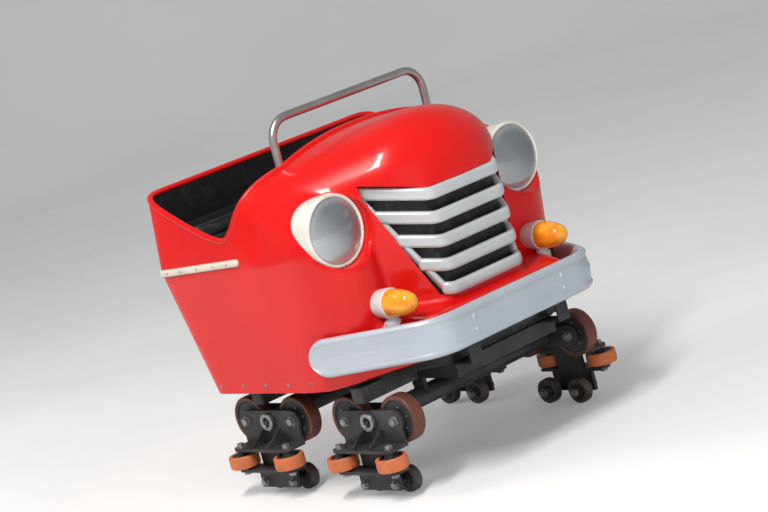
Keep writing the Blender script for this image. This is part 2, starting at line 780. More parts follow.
def apronPoints():
    v, n = bodyShape, noseShape
    backY = v["sillHalfWidth"] - n["tuck"] - n["apronRadius"]
    points = []
    for side in sides:
        for z in (n["apronTop"] - n["apronEdge"], n["apron"] - n["apronEdge"]):
            points += ballAt(n["apronX"] - n["apronEdge"], side * n["apronY"], z, n["apronEdge"])
        for z in (n["apronTop"] - n["apronRadius"] * 2 / 3, v["sill"] - n["apronRadius"] / 2):
            points += ballAt(n["apronBackX"], side * backY, z, n["apronRadius"])
    return points


def kneeAt(u, side, deep):
    g = grilleShape
    z = g["low"] + (g["high"] - g["low"]) * u
    return place(g["front"] - g["barDepth"] / 2 - deep, side * g["halfWidth"], z)


def wingTip(u, side, deep, past=0.0):
    g = grilleShape
    share = g["foot"] + (1 - g["foot"]) * u
    share += past / math.hypot(g["back"], g["out"])
    return kneeAt(u, side, deep) + Vector((-g["back"], side * g["out"], g["rise"])) * share


def grilleBlock(bm, deep0, deep1, grow):
    points = []
    for side in sides:
        for u in (0, 1):
            for d in (deep0, deep1):
                # A little wider than the knees, so that no skin is left between this block and the wings
                point = kneeAt(u, side, d) + left * side * grilleShape["overlap"]
                points += [point + up * grow, point - up * grow]
    addHull(bm, points)


def wingBlock(bm, side, deep0, deep1, grow):
    points = []
    for u in (0, 1):
        for d in (deep0, deep1):
            for point in (kneeAt(u, side, d), wingTip(u, side, d, 1.3 * grow)):
                points += [point + up * grow, point - up * grow]
    addHull(bm, points)


def rimHeight(x):
    v = bodyShape
    if x > v["rimLowX"]:
        share = (x - v["rimLowX"]) / (v["cowl"] - v["rimLowX"])
        return v["rimLow"] + (v["rimFront"] - v["rimLow"]) * (1 - math.cos(math.pi * share)) / 2
    share = (v["rimLowX"] - x) / (v["rimLowX"] - v["rearTop"])
    return min(v["rimRear"], v["rimLow"] + (v["rimRear"] - v["rimLow"]) * share ** 1.35)


def rimOutline():
    v = bodyShape
    steps = 60
    rear = v["rearTop"] - v["corner"]
    xs = [v["cowl"] + (rear - v["cowl"]) * i / steps for i in range(steps + 1)]
    line = [(lampPlane + x, rimHeight(x)) for x in xs]
    return line + [(-far, v["rimRear"]), (-far, far), (lampPlane + v["cowl"], far)]


def sillOutline():
    v, n = bodyShape, noseShape
    slope = [(lampPlane + n["apronBackX"], v["sill"]), (lampPlane + n["apronX"], n["apron"])]
    return [(-far, v["sill"])] + slope + [(far, n["apron"]), (far, -1), (-far, -1)]


# Walks a closed loop of edges and gives its points in order
def orderedLoop(edges):
    links = {}
    for edge in edges:
        for vert, other in ((edge.verts[0], edge.verts[1]), (edge.verts[1], edge.verts[0])):
            links.setdefault(vert, []).append(other)
    start = next(iter(links))
    loop, before, here = [start], None, start
    while True:
        onward = [v for v in links[here] if v is not before]
        if not onward or onward[0] is start:
            break
        before, here = here, onward[0]
        loop.append(here)
        if len(loop) > len(links):
            break
    return [vert.co.copy() for vert in loop]


# Spaces the points of a loop evenly and smooths them
def evenLoop(points, step, passes):
    closed = points + [points[0]]
    lengths = [0.0]
    for a, b in zip(closed, closed[1:]):
        lengths.append(lengths[-1] + (b - a).length)
    count = int(lengths[-1] / step)
    even, j = [], 0
    for i in range(count):
        target = lengths[-1] * i / count
        while lengths[j + 1] < target:
            j += 1
        t = (target - lengths[j]) / max(lengths[j + 1] - lengths[j], 1e-9)
        even.append(closed[j].lerp(closed[j + 1], t))
    for _ in range(passes):
        even = [(even[i - 1] + even[i] * 2 + even[(i + 1) % count]) / 4 for i in range(count)]
    return even


# A closed tube through a loop of points
def tubeAlong(points, radius, roundness):
    line = bpy.data.curves.new("line", "CURVE")
    line.dimensions = "3D"
    spline = line.splines.new("POLY")
    spline.points.add(len(points) - 1)
    for slotPoint, point in zip(spline.points, points):
        slotPoint.co = (*point, 1)
    spline.use_cyclic_u = True
    line.bevel_depth = radius
    line.bevel_resolution = roundness
    helper = bpy.data.objects.new("line", line)
    bpy.context.scene.collection.objects.link(helper)
    graph = bpy.context.evaluated_depsgraph_get()
    mesh = bpy.data.meshes.new_from_object(helper.evaluated_get(graph))
    discard(helper)
    return mesh


def addRemesh(thing, voxel):
    remesh = thing.modifiers.new("remesh", "REMESH")
    remesh.mode = "VOXEL"
    remesh.voxel_size = voxel


def addSmoothing(thing, factor, passes):
    soften = thing.modifiers.new("soften", "SMOOTH")
    soften.factor = factor
    soften.iterations = passes


def remeshSmooth(thing, voxel, passes):
    addRemesh(thing, voxel)
    addSmoothing(thing, 0.5, passes)
    applyModifiers(thing)


def makeBody():
    v, g = bodyShape, grilleShape
    solids = bmesh.new()
    addHull(solids, tubPoints())
    for side in sides:
        addHull(solids, fenderPoints(side))
    addHull(solids, prowPoints())
    addHull(solids, apronPoints())
    body = temporary("bodySolid", solids)
    remeshSmooth(body, v["voxel"], v["smoothing"])

    # A softly rounded notch clears the face of each headlamp
    notches = bmesh.new()
    for side in sides:
        bmesh.ops.create_cone(
            notches, cap_ends=True, segments=72, radius1=lampRadius + v["notchGap"],
            radius2=lampRadius + v["notchGap"], depth=v["notchDepth"],
            matrix=aim(forward, place(v["notchDepth"] / 2 - v["notchBack"], side * lampY, lampZ)))
    notchTool = temporary("lampNotches", notches)
    cut(body, notchTool)
    discard(notchTool)
    remeshSmooth(body, v["voxel"], v["notchSmoothing"])
    # Steps in and back out take the last ripples from the skin and leave its size
    for factor in v["fairingSteps"] * v["fairing"]:
        addSmoothing(body, factor, 1)
    applyModifiers(body)
    setFinishes(body.data, ("red", "moulding", "frame"))

    # The pocket behind the grille stays, in the skin's own red
    blocks = []
    grow = g["barHeight"] / 2 + g["clear"]
    for side in (0, *sides):
        bm = bmesh.new()
        if side == 0:
            grilleBlock(bm, v["pocketFront"], g["recess"], grow)
        else:
            wingBlock(bm, side, v["pocketFront"], g["recess"], grow)
        bmesh.ops.recalc_face_normals(bm, faces=bm.faces)
        blocks.append(temporary("pocket", bm))
    # The cockpit above the rim and everything below the sill are open
    for outline in (rimOutline(), sillOutline()):
        bm = bmesh.new()
        addPrism(bm, outline, v["cutWidth"], 2)
        blocks.append(temporary("opening", bm))
    for block in blocks:
        setFinishes(block.data, ("red", "moulding", "frame"))
        cut(body, block)
    discard(*blocks)

    bm = bmesh.new()
    bm.from_mesh(body.data)
    gone = [face for face in bm.faces if face.material_index == 2]
    bmesh.ops.delete(bm, geom=gone, context="FACES")
    bmesh.ops.remove_doubles(bm, verts=bm.verts, dist=v["weld"])
    # The cockpit's rim is the open edge above the belt line, the sill's lies below it
    rim = orderedLoop([edge for edge in bm.edges if edge.is_boundary and edge.verts[0].co.z > v["belt"]])
    mesh = bpy.data.meshes.new("bodySkin")
    bm.to_mesh(mesh)
    bm.free()
    discard(body)
    skin = dressPiece("bodySkin", mesh, "car", ("red", "moulding"), ("tub_shell", "nose_shell"), 40)
    wall = skin.modifiers.new("wall", "SOLIDIFY")
    wall.thickness = v["wall"]
    wall.offset = -1
    wall.use_even_offset = False
    wall.material_offset = 1
    wall.material_offset_rim = 0
    applyModifiers(skin)
    setFinishes(skin.data, ("red", "moulding"))
    return rim, skin


lipShape = {"radius": 0.0115, "step": 0.012, "smoothing": 10, "inset": 0.004}


def makeLip(rim):
    v = lipShape
    path = evenLoop(rim, v["step"], v["smoothing"])
    middle = sum(path, Vector()) / len(path)
    path = [p + Vector((middle.x - p.x, middle.y - p.y, 0)).normalized() * v["inset"] for p in path]
    dressPiece("cockpitLip", tubeAlong(path, v["radius"], 5), "car", ("red",), (), 60)


bodyScrews = {
    "xs": (-0.752, -0.619, -0.486, -0.353, -0.220), "above": 0.034, "size": 0.0052, "flat": 0.42,
    "rimXs": (0.020, 0.110), "noseAbove": 0.040, "washer": 0.0016,
}


def surfaceOf(mesh):
    return BVHTree.FromPolygons([vert.co for vert in mesh.vertices],
                                [polygon.vertices[:] for polygon in mesh.polygons])


def makeBodyScrews(skin):
    v = bodyScrews
    surface = surfaceOf(skin.data)
    bm = bmesh.new()
    for side in sides:
        for x, above in [(x, v["above"]) for x in v["xs"]] + [(x, v["noseAbove"]) for x in v["rimXs"]]:
            rise = max(0.0, (x - noseShape["apronBackX"]) / (noseShape["apronX"] - noseShape["apronBackX"]))
            z = bodyShape["sill"] + above + rise * (noseShape["apron"] - bodyShape["sill"])
            hit, normal = surface.ray_cast(place(x, side * 1.2, z), left * -side)[:2]
            if hit is not None:
                bmesh.ops.create_uvsphere(
                    bm, u_segments=18, v_segments=9, radius=v["size"],
                    matrix=aim(normal, hit) @ Matrix.Diagonal((1, 1, v["flat"], 1)))
                bmesh.ops.create_cone(
                    bm, cap_ends=True, segments=20, radius1=v["size"] * 1.5, radius2=v["size"] * 1.4,
                    depth=v["washer"], matrix=aim(normal, hit))
    tidy(bm)
    makePiece("bodyScrews", bm, "car", ("ring",), (), 30)


bodyRim, bodySkin = makeBody()
makeLip(bodyRim)
makeBodyScrews(bodySkin)
print("body made")


# Grille: five bars bent in a V, joined at their ends by cheeks

def makeGrille():
    g = grilleShape
    bm = bmesh.new()
    reach = g["barDepth"] * 0.5
    for i in range(g["bars"]):
        u = i / (g["bars"] - 1)
        points = [wingTip(u, -1, 0, reach), kneeAt(u, -1, 0), kneeAt(u, 1, 0), wingTip(u, 1, 0, reach)]
        path = roundPath(points, g["kneeRadius"], 10)
        roundedSweep(bm, path, reach, 8, g["barDepth"], g["barHeight"], 3.0, 32)
    for side in sides:
        points = []
        for u in (0, 1):
            for deep in (0, g["cheekDeep"]):
                points += ballPoints(wingTip(u, side, deep), g["cheekRadius"])
        addHull(bm, points)
    tidy(bm)
    makePiece("grilleBars", bm, "car", ("silver",), ("grille_frame",), 40)


makeGrille()
print("grille made")


# Headlamps and turn signals are bullets turned on a lathe

bullet = {"steps": 24, "bluntness": 0.62}


def bulletProfile(radius, reach):
    steps = bullet["steps"]
    profile = [(0, -reach)]
    for i in range(1, steps + 1):
        angle = math.pi / 2 * (1 - i / steps)
        profile.append((radius * math.cos(angle) ** bullet["bluntness"], -reach * math.sin(angle)))
    return profile


headlamp = {
    "reach": 0.195, "rim": 0.014, "seat": 0.018, "edge": 0.022, "dome": 0.320, "groove": 0.0022,
    "grooveAt": (-0.016, -0.014, -0.012), "edgeEase": (0.001, 0.002), "screw": 0.004,
}
signal = {
    "x": 0.122, "y": 0.411, "z": 0.702, "radius": 0.057, "half": 0.118, "step": 0.004,
    "ribs": 7, "ribHeight": 0.0010, "stemX": 0.098, "stemRadius": 0.020, "stemFoot": 0.600,
    "flareTop": 0.656, "flareRadius": 0.033, "flareBase": 0.634, "flareCurve": 1.6, "flareSteps": 6,
    "stemSunk": 0.02, "edge": 0.0025, "rimBack": 0.006,
}


def makeHeadlamps():
    v = headlamp
    pods, lenses = bmesh.new(), bmesh.new()
    r, half = lampRadius, v["rim"] / 2
    inner = r - v["rim"]
    bowl = bulletProfile(r, v["reach"])
    bowl = bowl[:-1] + list(zip((r, r - v["groove"], r), v["grooveAt"]))
    bezel = arcPoints((r - half, lampLip - half), half, 0, 180, 10)
    shell = bowl + bezel + [(inner, -v["seat"]), (0, -v["seat"])]
    lensRadius = inner - hair
    rise = v["dome"] - math.sqrt(v["dome"] ** 2 - lensRadius ** 2)
    back = -v["seat"] + hair
    front = back + v["edge"] + rise
    dome = []
    for i in range(1, 21):
        x = lensRadius * (1 - i / 20)
        dome.append((x, front - v["dome"] + math.sqrt(v["dome"] ** 2 - x * x)))
    easeIn, easeBack = v["edgeEase"]
    lens = [(0, back), (lensRadius, back), (lensRadius, back + v["edge"] - easeBack),
            (lensRadius - easeIn, back + v["edge"])] + dome
    for side in sides:
        centre = place(0, side * lampY, lampZ)
        revolve(pods, shell, centre, forward, 96)
        revolve(lenses, lens, centre, forward, 96)
        # Screw that holds the rim, under the lens
        screwAt = centre + Vector((lampLip - 0.0005, 0, -(r - half)))
        hexBolt(pods, screwAt, forward, v["screw"], 1, False)
    tidy(pods)
    tidy(lenses)
    makePiece("headlampPods", pods, "car", ("cream", "ring"), ("headlamp_pods",), 30)
    makePiece("headlampLenses", lenses, "car", ("lens",), ("headlamp_lenses",), 50)


def makeSignals():
    v = signal
    housings, lenses = bmesh.new(), bmesh.new()
    r = v["radius"]
    rear = bulletProfile(r, v["half"])[:-1]
    e = v["edge"]
    rear += [(r, -v["rimBack"])] + arcPoints((r - e, -e - hair), e, 0, 90, 4) + [(0, -hair)]
    small = r - v["step"]
    front = bulletProfile(small, v["half"] - hair)[::-1]
    ribbed = [(0, 0)]
    for radius, reach in front:
        along = -reach
        share = along / v["half"]
        wave = v["ribHeight"] * abs(math.sin(math.pi * v["ribs"] * share)) * (1 - share ** 4)
        ribbed.append((max(radius - wave, 0.0), along))
    stem = [(0, v["stemFoot"]), (v["flareRadius"], v["stemFoot"]), (v["flareRadius"], v["flareBase"])]
    for i in range(1, v["flareSteps"] + 1):
        t = i / v["flareSteps"]
        stem.append((v["flareRadius"] + (v["stemRadius"] - v["flareRadius"]) * math.sin(math.pi / 2 * t),
                     v["flareBase"] + (v["flareTop"] - v["flareBase"]) * t ** v["flareCurve"]))
    stem += [(v["stemRadius"], v["z"] - v["stemSunk"]), (0, v["z"] - v["stemSunk"])]
    for side in sides:
        centre = place(v["x"], side * v["y"], v["z"])
        revolve(housings, rear, centre, forward, 72)
        revolve(lenses, ribbed, centre + forward * hair, forward, 72)
        revolve(housings, stem, place(v["stemX"], side * v["y"], 0), up, 48)
    tidy(housings)
    tidy(lenses)
    makePiece("signalHousings", housings, "car", ("white",), ("signal_housings",), 35)
    makePiece("signalLenses", lenses, "car", ("amber",), ("signal_lenses",), 60)


makeHeadlamps()
makeSignals()
print("lamps made")


# Bumper: a broad band that follows the nose round to the sides

bumperShape = {
    "front": 0.330, "halfWidth": 0.415, "bend": 0.150, "back": 0.460, "out": 0.260,
    "height": 0.147, "depth": 0.050, "z": 0.565, "panel": 0.0085, "panelFrom": 0.80, "panelTo": 0.62,
    "ridge": 0.0045, "ridgeWidth": 0.011, "roundness": 2.5,
    "boltY": 0.24, "boltZ": 0.024, "boltRadius": 0.011, "boltSunk": 0.0012,
}


def makeBumper():
    v = bumperShape
    outward = v["out"] - v["depth"] / 2
    turn = math.atan2(v["back"], outward)
    run = math.hypot(v["back"], outward)
    half = []
    for i in range(13):
        a = turn * i / 12
        half.append(place(
            v["front"] - v["bend"] * (1 - math.cos(a)),
            v["halfWidth"] - v["bend"] * math.tan(turn / 2) + v["bend"] * math.sin(a), v["z"]))
    half.append(place(v["front"] - run * math.sin(turn), v["halfWidth"] + run * math.cos(turn), v["z"]))
    path = [mirrored(point, -1) for point in half[::-1]] + half

    def twoBands(co):
        # Rolled edges stand round a shallow panel, and a ridge parts it in two
        if co.x > 0:
            share = limited(
                (v["panelFrom"] - abs(co.y) / (v["height"] / 2)) / (v["panelFrom"] - v["panelTo"]))
            co.x -= v["panel"] * share * share * (3 - 2 * share)
            co.x += v["ridge"] * math.exp(-(co.y / v["ridgeWidth"]) ** 2)
        return co

    bm = bmesh.new()
    roundedSweep(bm, path, v["height"] / 2, 12, v["depth"], v["height"], v["roundness"], 72,
                 section=twoBands)
    # Carriage bolts hold the band to its brackets
    faceX = v["front"] + v["depth"] / 2 - v["panel"] - v["boltSunk"]
    for side in sides:
        for dz in (-v["boltZ"], v["boltZ"]):
            spot = place(faceX, side * v["boltY"], v["z"] + dz)
            bmesh.ops.create_uvsphere(
                bm, u_segments=20, v_segments=10, radius=v["boltRadius"],
                matrix=Matrix.Translation(spot) @ Matrix.Diagonal((0.5, 1, 1, 1)))
    tidy(bm)
    makePiece("bumperBand", bm, "car", ("bumper",), ("bumper",), 50)


makeBumper()

trimStrip = {
    "rear": -0.890, "length": 0.490, "y": 0.6345, "z": 0.925, "height": 0.028, "depth": 0.024,
    "tilt": 3, "cornerX": -0.855, "cornerRadius": 0.070, "end": 0.012, "steps": 24,
    "screws": 5, "screwStep": 3, "screwSize": 0.0042, "screwSunk": 0.0012,
}


def makeTrims():
    v = trimStrip
    slope = math.radians(v["tilt"])
    bm = bmesh.new()
    for side in sides:
        path = []
        for i in range(v["steps"] + 1):
            along = v["length"] * i / v["steps"]
            x = v["rear"] + along * math.cos(slope)
            # The strip follows the rear corner in
            lead = max(0.0, v["cornerX"] - x)
            y = v["y"] - (v["cornerRadius"] - math.sqrt(v["cornerRadius"] ** 2 - lead ** 2))
            path.append(place(x, side * y, v["z"] + along * math.sin(slope)))
        roundedSweep(bm, path, v["end"], 6, v["depth"], v["height"], 2.6, 28)
        outward = left * side
        for i in range(v["screws"]):
            between = round((v["steps"] - 2 * v["screwStep"]) * i / (v["screws"] - 1))
            point = path[v["screwStep"] + between] + outward * (v["depth"] / 2 - v["screwSunk"])
            hexBolt(bm, point, outward, v["screwSize"], 1, False)
    tidy(bm)
    makePiece("trimStrips", bm, "car", ("strip", "ring"), ("side_trims",), 50)


makeTrims()
print("bumper and trim made")

hoop = {
    "radius": 0.016, "halfWidth": 0.399, "foot": 1.040, "top": 1.434, "bend": 0.085, "x": -0.3063,
    "saddles": (0.025, 0.125), "saddle": (0.0035, 0.0045, 0.001), "saddleHalf": (0.014, 0.012),
    "lug": (0.005, 0.026, 0.028), "lugBack": 0.0035, "lugOut": 0.012,
    "boltBack": 0.006, "boltOut": 0.014, "boltSize": 0.0065,
}


def makeHoop():
    v = hoop
    bm = bmesh.new()
    top = v["top"] - v["radius"]
    path = [place(v["x"], -v["halfWidth"], v["foot"])]
    for side in (-1, 1):
        angles = [math.pi / 2 * i / 14 for i in range(15)]
        arc = [place(v["x"], side * (v["halfWidth"] - v["bend"] + v["bend"] * math.cos(a)),
                     top - v["bend"] + v["bend"] * math.sin(a)) for a in angles]
        path += arc if side < 0 else arc[::-1]
    path.append(place(v["x"], v["halfWidth"], v["foot"]))
    sweep(bm, stationsAlong(path, forward), v["radius"] * 2, v["radius"] * 2, 2.0, 32)
    # Saddles and their bolts hold the tube to the dash
    eased, proud, sunk = v["saddle"]
    edge, outer, inner = v["radius"] + eased, v["radius"] + proud, v["radius"] - sunk
    end, near = v["saddleHalf"]
    for side in sides:
        for rise in v["saddles"]:
            centre = place(v["x"], side * v["halfWidth"], v["foot"] + rise)
            ring = [(edge, -end), (outer, -near), (outer, near), (edge, end), (inner, end), (inner, -end)]
            revolve(bm, ring + ring[:1], centre, up, 40, 1)
            for way in sides:
                lugAt = Vector((v["radius"] - v["lugBack"], way * (v["radius"] + v["lugOut"]), 0))
                addBox(bm, centre + lugAt, v["lug"], 1)
                boltAt = Vector((v["radius"] - v["boltBack"], way * (v["radius"] + v["boltOut"]), 0))
                hexBolt(bm, centre + boltAt, -forward, v["boltSize"], 1)
    tidy(bm)
    makePiece("grabHoop", bm, "car", ("tube", "frame"), ("grab_hoop",), 35)


makeHoop()
print("hoop made")


# Wheels: a bonded tread on a dished rim that is bolted to its hub

wheelShapes = {
    "run": {"radius": 0.092, "width": 0.056, "tread": 0.014, "bolts": 6, "steps": 72, "axis": left},
    "guide": {"radius": 0.060, "width": 0.050, "tread": 0.014, "bolts": 4, "steps": 56, "axis": up},
    "upstop": {"radius": 0.050, "width": 0.040, "tread": 0.014, "bolts": 4, "steps": 48, "axis": left},
}
hub = {
    "bore": 0.0123, "boss": 0.022, "dish": 0.006, "past": 0.005, "shoulder": 0.006, "ease": 0.0012,
    "bossEase": 0.0015, "lipTop": 0.004, "lip": 0.007, "fillet": 0.002, "camber": 0.0002,
    "boltSize": 0.0062, "boltShare": 0.36, "boltLeast": 0.0015, "boltSunk": 0.0004,
}


def makeWheel(kind, corner, number):
    v = wheelShapes[kind]
    node = f"{kind}_{corner}_{number}"
    low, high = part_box(node)
    centre = (low + high) / 2
    axis = v["axis"]
    r, half = v["radius"], v["width"] / 2
    inner = r - v["tread"]
    bm = bmesh.new()
    s = hub["shoulder"]
    band = [(inner - 0.001, -half + 0.0015), (r - s - 0.001, -half)]
    band += arcPoints((r - s - 0.0006, -half + s), s, -90, 0, 5)
    band += [(r - hub["camber"], -half * 0.45), (r, 0), (r - hub["camber"], half * 0.45)]
    band += arcPoints((r - s - 0.0006, half - s), s, 0, 90, 5)
    band += [(inner - 0.001, half - 0.0015)]
    revolve(bm, band + band[:1], centre, axis, v["steps"], 0)
    web = half - hub["dish"]
    lip, foot = web + hub["lipTop"], inner - hub["lip"]
    boss, bore, end = hub["boss"], hub["bore"], half + hub["past"]
    flank = [(inner, lip), (inner - 0.002, lip + 0.0006), (inner - 0.0045, lip), (foot, web),
             (boss + hub["fillet"], web), (boss, web + hub["fillet"]),
             (boss, end - hub["bossEase"]), (boss - hub["bossEase"], end),
             (bore + hub["ease"], end), (bore, end - hub["ease"])]
    disc = [(a, -t) for a, t in flank[::-1]] + flank
    revolve(bm, disc + disc[:1], centre, axis, v["steps"], 1)
    boltRing = (foot + boss) / 2
    size = min(hub["boltSize"], (foot - boss) * hub["boltShare"])
    if size > hub["boltLeast"]:
        other = axis.orthogonal().normalized()
        for way in sides:
            for i in range(v["bolts"]):
                arm = Matrix.Rotation(fullTurn * (i + 0.5) / v["bolts"], 4, axis) @ other
                spot = centre + arm * boltRing + axis * way * (web - hub["boltSunk"])
                hexBolt(bm, spot, axis * way, size, 2, False)
    tidy(bm)
    name = f"{kind}Wheel{corner.upper()}{number}"
    makePiece(name, bm, node, (kind, "frame", "ring"), (node,), 32)


for wheelKind in wheelShapes:
    for wheelCorner in corners:
        for wheelNumber in (1, 2):
            makeWheel(wheelKind, wheelCorner, wheelNumber)
print("wheels made")


# Nuts on the carriers' pins, retaining rings on the axle stubs and the chassis fastenings

gear = {
    "gauge": 0.480, "runZ": 0.2865, "upstopZ": 0.050, "axles": {"f": -0.040, "r": -0.620},
    "tandem": 0.135, "upstop": 0.084, "guideY": 0.1055, "plateFace": 0.046, "armTop": 0.203,
    "armFoot": 0.107, "legFace": 0.0745, "upstopInner": 0.034,
    "runNut": 0.0190, "guideNut": 0.0180, "upstopNut": 0.0165,
    "ringInner": 0.0185, "ringOuter": 0.0350, "ringStart": 0.5284, "ringEnd": 0.5428, "ringFloor": 0.5328,
    "ringEase": 0.0022, "ringBolt": 0.011, "hangerY": 0.249, "hangerZ": 0.338, "hangerBoltX": 0.019,
    "hangerBolt": 0.0085, "beamEnd": 0.550, "beamZ": 0.3927, "cap": (0.056, 0.005, 0.056),
    "capOut": 0.001, "capEase": 0.0018,
}


def makeCarrierNuts(corner):
    v = gear
    side = 1 if corner[1] == "l" else -1
    x = v["axles"][corner[0]]
    out = left * side
    bm = bmesh.new()
    for end in sides:
        for way in sides:
            pin = place(x + end * v["tandem"], side * v["gauge"], v["runZ"]) + out * way * v["plateFace"]
            hexBolt(bm, pin, out * way, v["runNut"])
        guideAt = side * (v["gauge"] + v["guideY"])
        hexBolt(bm, place(x + end * v["tandem"], guideAt, v["armTop"]), up, v["guideNut"])
        hexBolt(bm, place(x + end * v["tandem"], guideAt, v["armFoot"]), -up, v["guideNut"])
        hexBolt(bm, place(x + end * v["upstop"], side * v["gauge"], v["upstopZ"]) + out * v["legFace"],
                out, v["upstopNut"])
        hexBolt(bm, place(x + end * v["upstop"], side * v["gauge"], v["upstopZ"]) - out * v["upstopInner"],
                -out, v["upstopNut"])
    tidy(bm)
    makePiece("carrierNuts" + corner.upper(), bm, "carrier_" + corner, ("ring",), (), 30)


def makeStubRings():
    v = gear
    bm = bmesh.new()
    for x in v["axles"].values():
        for side in sides:
            ease = v["ringEase"]
            ring = [(v["ringOuter"], v["ringStart"]), (v["ringOuter"], v["ringEnd"] - ease),
                    (v["ringOuter"] - ease, v["ringEnd"]), (v["ringInner"] + ease, v["ringEnd"]),
                    (v["ringInner"], v["ringEnd"] - ease), (v["ringInner"], v["ringStart"])]
            revolve(bm, ring + ring[:1], place(x, 0, v["runZ"]), left * side, 56)
            hexBolt(bm, place(x, side * v["ringFloor"], v["runZ"]), left * side, v["ringBolt"], 1)
    tidy(bm)
    makePiece("stubRings", bm, "car", ("ring", "frame"), (), 30)


def makeChassisBolts():
    v = gear
    bm = bmesh.new()
    for x in v["axles"].values():
        for side in sides:
            for dx in (-v["hangerBoltX"], v["hangerBoltX"]):
                spot = place(x + dx, side * v["hangerY"], v["hangerZ"])
                hexBolt(bm, spot, left * side, v["hangerBolt"])
            # Pressed caps close the ends of the cross beams
            cap = addBox(bm, place(x, side * (v["beamEnd"] + v["capOut"]), v["beamZ"]), v["cap"])
            edges = {edge for face in cap for edge in face.edges}
            bmesh.ops.bevel(bm, geom=list(edges), offset=v["capEase"], segments=2, affect="EDGES",
                            profile=0.5)
    tidy(bm)
    makePiece("chassisBolts", bm, "car", ("frame",), (), 30)


for gearCorner in corners:
    makeCarrierNuts(gearCorner)
makeStubRings()
makeChassisBolts()
print("gear fastenings made")

floorMat = {
    "from": -0.412, "to": -0.070, "halfWidth": 0.470, "z": 0.4367, "base": 0.0016, "rib": 0.0075,
    "pitch": 0.0145, "height": 0.0024, "ribShort": 0.016, "ribEdge": 0.0018, "ribTop": 0.0008,
}


def makeFloorMat():
    v = floorMat
    bm = bmesh.new()
    middle = (v["from"] + v["to"]) / 2
    addBox(bm, place(middle, 0, v["z"] + v["base"] / 2),
           (v["to"] - v["from"], 2 * v["halfWidth"], v["base"]))
    count = int((v["to"] - v["from"] - v["pitch"]) / v["pitch"])
    for i in range(count + 1):
        x = v["from"] + v["pitch"] * (i + 0.75)
        rib = addBox(bm, place(x, 0, v["z"] + v["base"] + v["height"] / 2 - hair),
                     (v["rib"], 2 * v["halfWidth"] - v["ribShort"], v["height"]))
        for face in rib:
            if face.calc_center_median().z > v["z"] + v["base"] + v["height"] - 2 * hair:
                bmesh.ops.inset_region(bm, faces=[face], thickness=v["ribEdge"], depth=v["ribTop"])
    bmesh.ops.recalc_face_normals(bm, faces=bm.faces)
    makePiece("floorMat", bm, "car", ("moulding",), (), 30)


makeFloorMat()
print("floor mat made")

floorSkirt = {"inset": 0.020, "foot": 0.4363, "top": 0.530, "step": 0.025, "thickness": 0.003, "off": 0.001}


# A black skirt closes the wedge between the floor's front edge and the rising apron
def makeFloorSkirt(skin):
    v, b, n = floorSkirt, bodyShape, noseShape
    surface = surfaceOf(skin.data)
    corner = [
        place(b["cowl"], b["sillHalfWidth"] - v["inset"], v["foot"]),
        place(n["apronBackX"], b["sillHalfWidth"] - n["tuck"] - v["inset"], v["foot"]),
        place(n["apronX"] - 2 * n["apronEdge"], n["apronY"] - v["inset"], v["foot"]),
        place(n["apronX"] - n["apronEdge"] - v["inset"], n["apronY"] - n["apronEdge"], v["foot"]),
    ]
    corner += [mirrored(point, -1) for point in corner[::-1]]
    path = []
    for first, second in zip(corner, corner[1:]):
        steps = max(1, round((second - first).length / v["step"]))
        path += [first.lerp(second, i / steps) for i in range(steps)]
    path.append(corner[-1])
    last = len(path) - 1
    bm = bmesh.new()
    for vert in bmesh.ops.create_grid(bm, x_segments=last, y_segments=1, size=1)["verts"]:
        i = round((vert.co.x + 1) / 2 * last)
        point = path[i].copy()
        if vert.co.y > 0:
            outward = up.cross(path[min(i + 1, last)] - path[max(i - 1, 0)]).normalized()
            point.z = v["top"]
            hit = surface.ray_cast(point, outward)[0]
            if hit is not None:
                point = hit - outward * v["off"]
        vert.co = point
    bmesh.ops.solidify(bm, geom=bm.faces[:], thickness=v["thickness"])
    bmesh.ops.recalc_face_normals(bm, faces=bm.faces)
    makePiece("floorSkirt", bm, "car", ("moulding",), (), 30)


makeFloorSkirt(bodySkin)
print("floor skirt made")


# Pads: closed forms that air pressure rounds in a cloth simulation

seat = {
    "benchX": -0.425, "over": 0.010, "benchZ": 0.682, "length": 0.343, "width": 0.514, "gap": 0.024,
    "thick": 0.088, "backX": -0.781, "panel": 0.016, "backHeight": 0.400, "backThick": 0.076,
    "lean": 9, "backGap": 0.014, "rounding": 0.024, "shrink": 0.007, "voxel": 0.007,
    "pressure": 4.0, "steps": 20, "cap": 0.011, "channel": 0.0075, "channelWidth": 0.006,
    "piping": 0.0042, "pipingSunk": 0.001, "pipingStep": 0.008, "rayStep": 0.012, "rayFrom": 0.3,
    "cushionChannels": (0.28, 0.5, 0.72), "backChannels": (0.25, 0.5, 0.75),
}


# No point moves by more than cap
def inflate(helper, voxel, pressure, cap):
    addRemesh(helper, voxel)
    applyModifiers(helper)
    before = [vert.co.copy() for vert in helper.data.vertices]
    cloth = helper.modifiers.new("air", "CLOTH")
    cloth.settings.use_pressure = True
    cloth.settings.uniform_pressure_force = pressure
    cloth.settings.effector_weights.gravity = 0
    cloth.settings.quality = 6
    scene = bpy.context.scene
    for step in range(1, seat["steps"] + 1):
        scene.frame_set(step)
    applyModifiers(helper)
    scene.frame_set(1)
    for vert, old in zip(helper.data.vertices, before):
        move = vert.co - old
        if move.length > cap:
            vert.co = old + move.normalized() * cap


# Makes an inflated pad finer and takes its mesh from its helper
def refined(helper):
    subdivide = helper.modifiers.new("fine", "SUBSURF")
    subdivide.levels = 1
    subdivide.render_levels = 1
    applyModifiers(helper)
    mesh = helper.data
    bpy.data.objects.remove(helper)
    return mesh


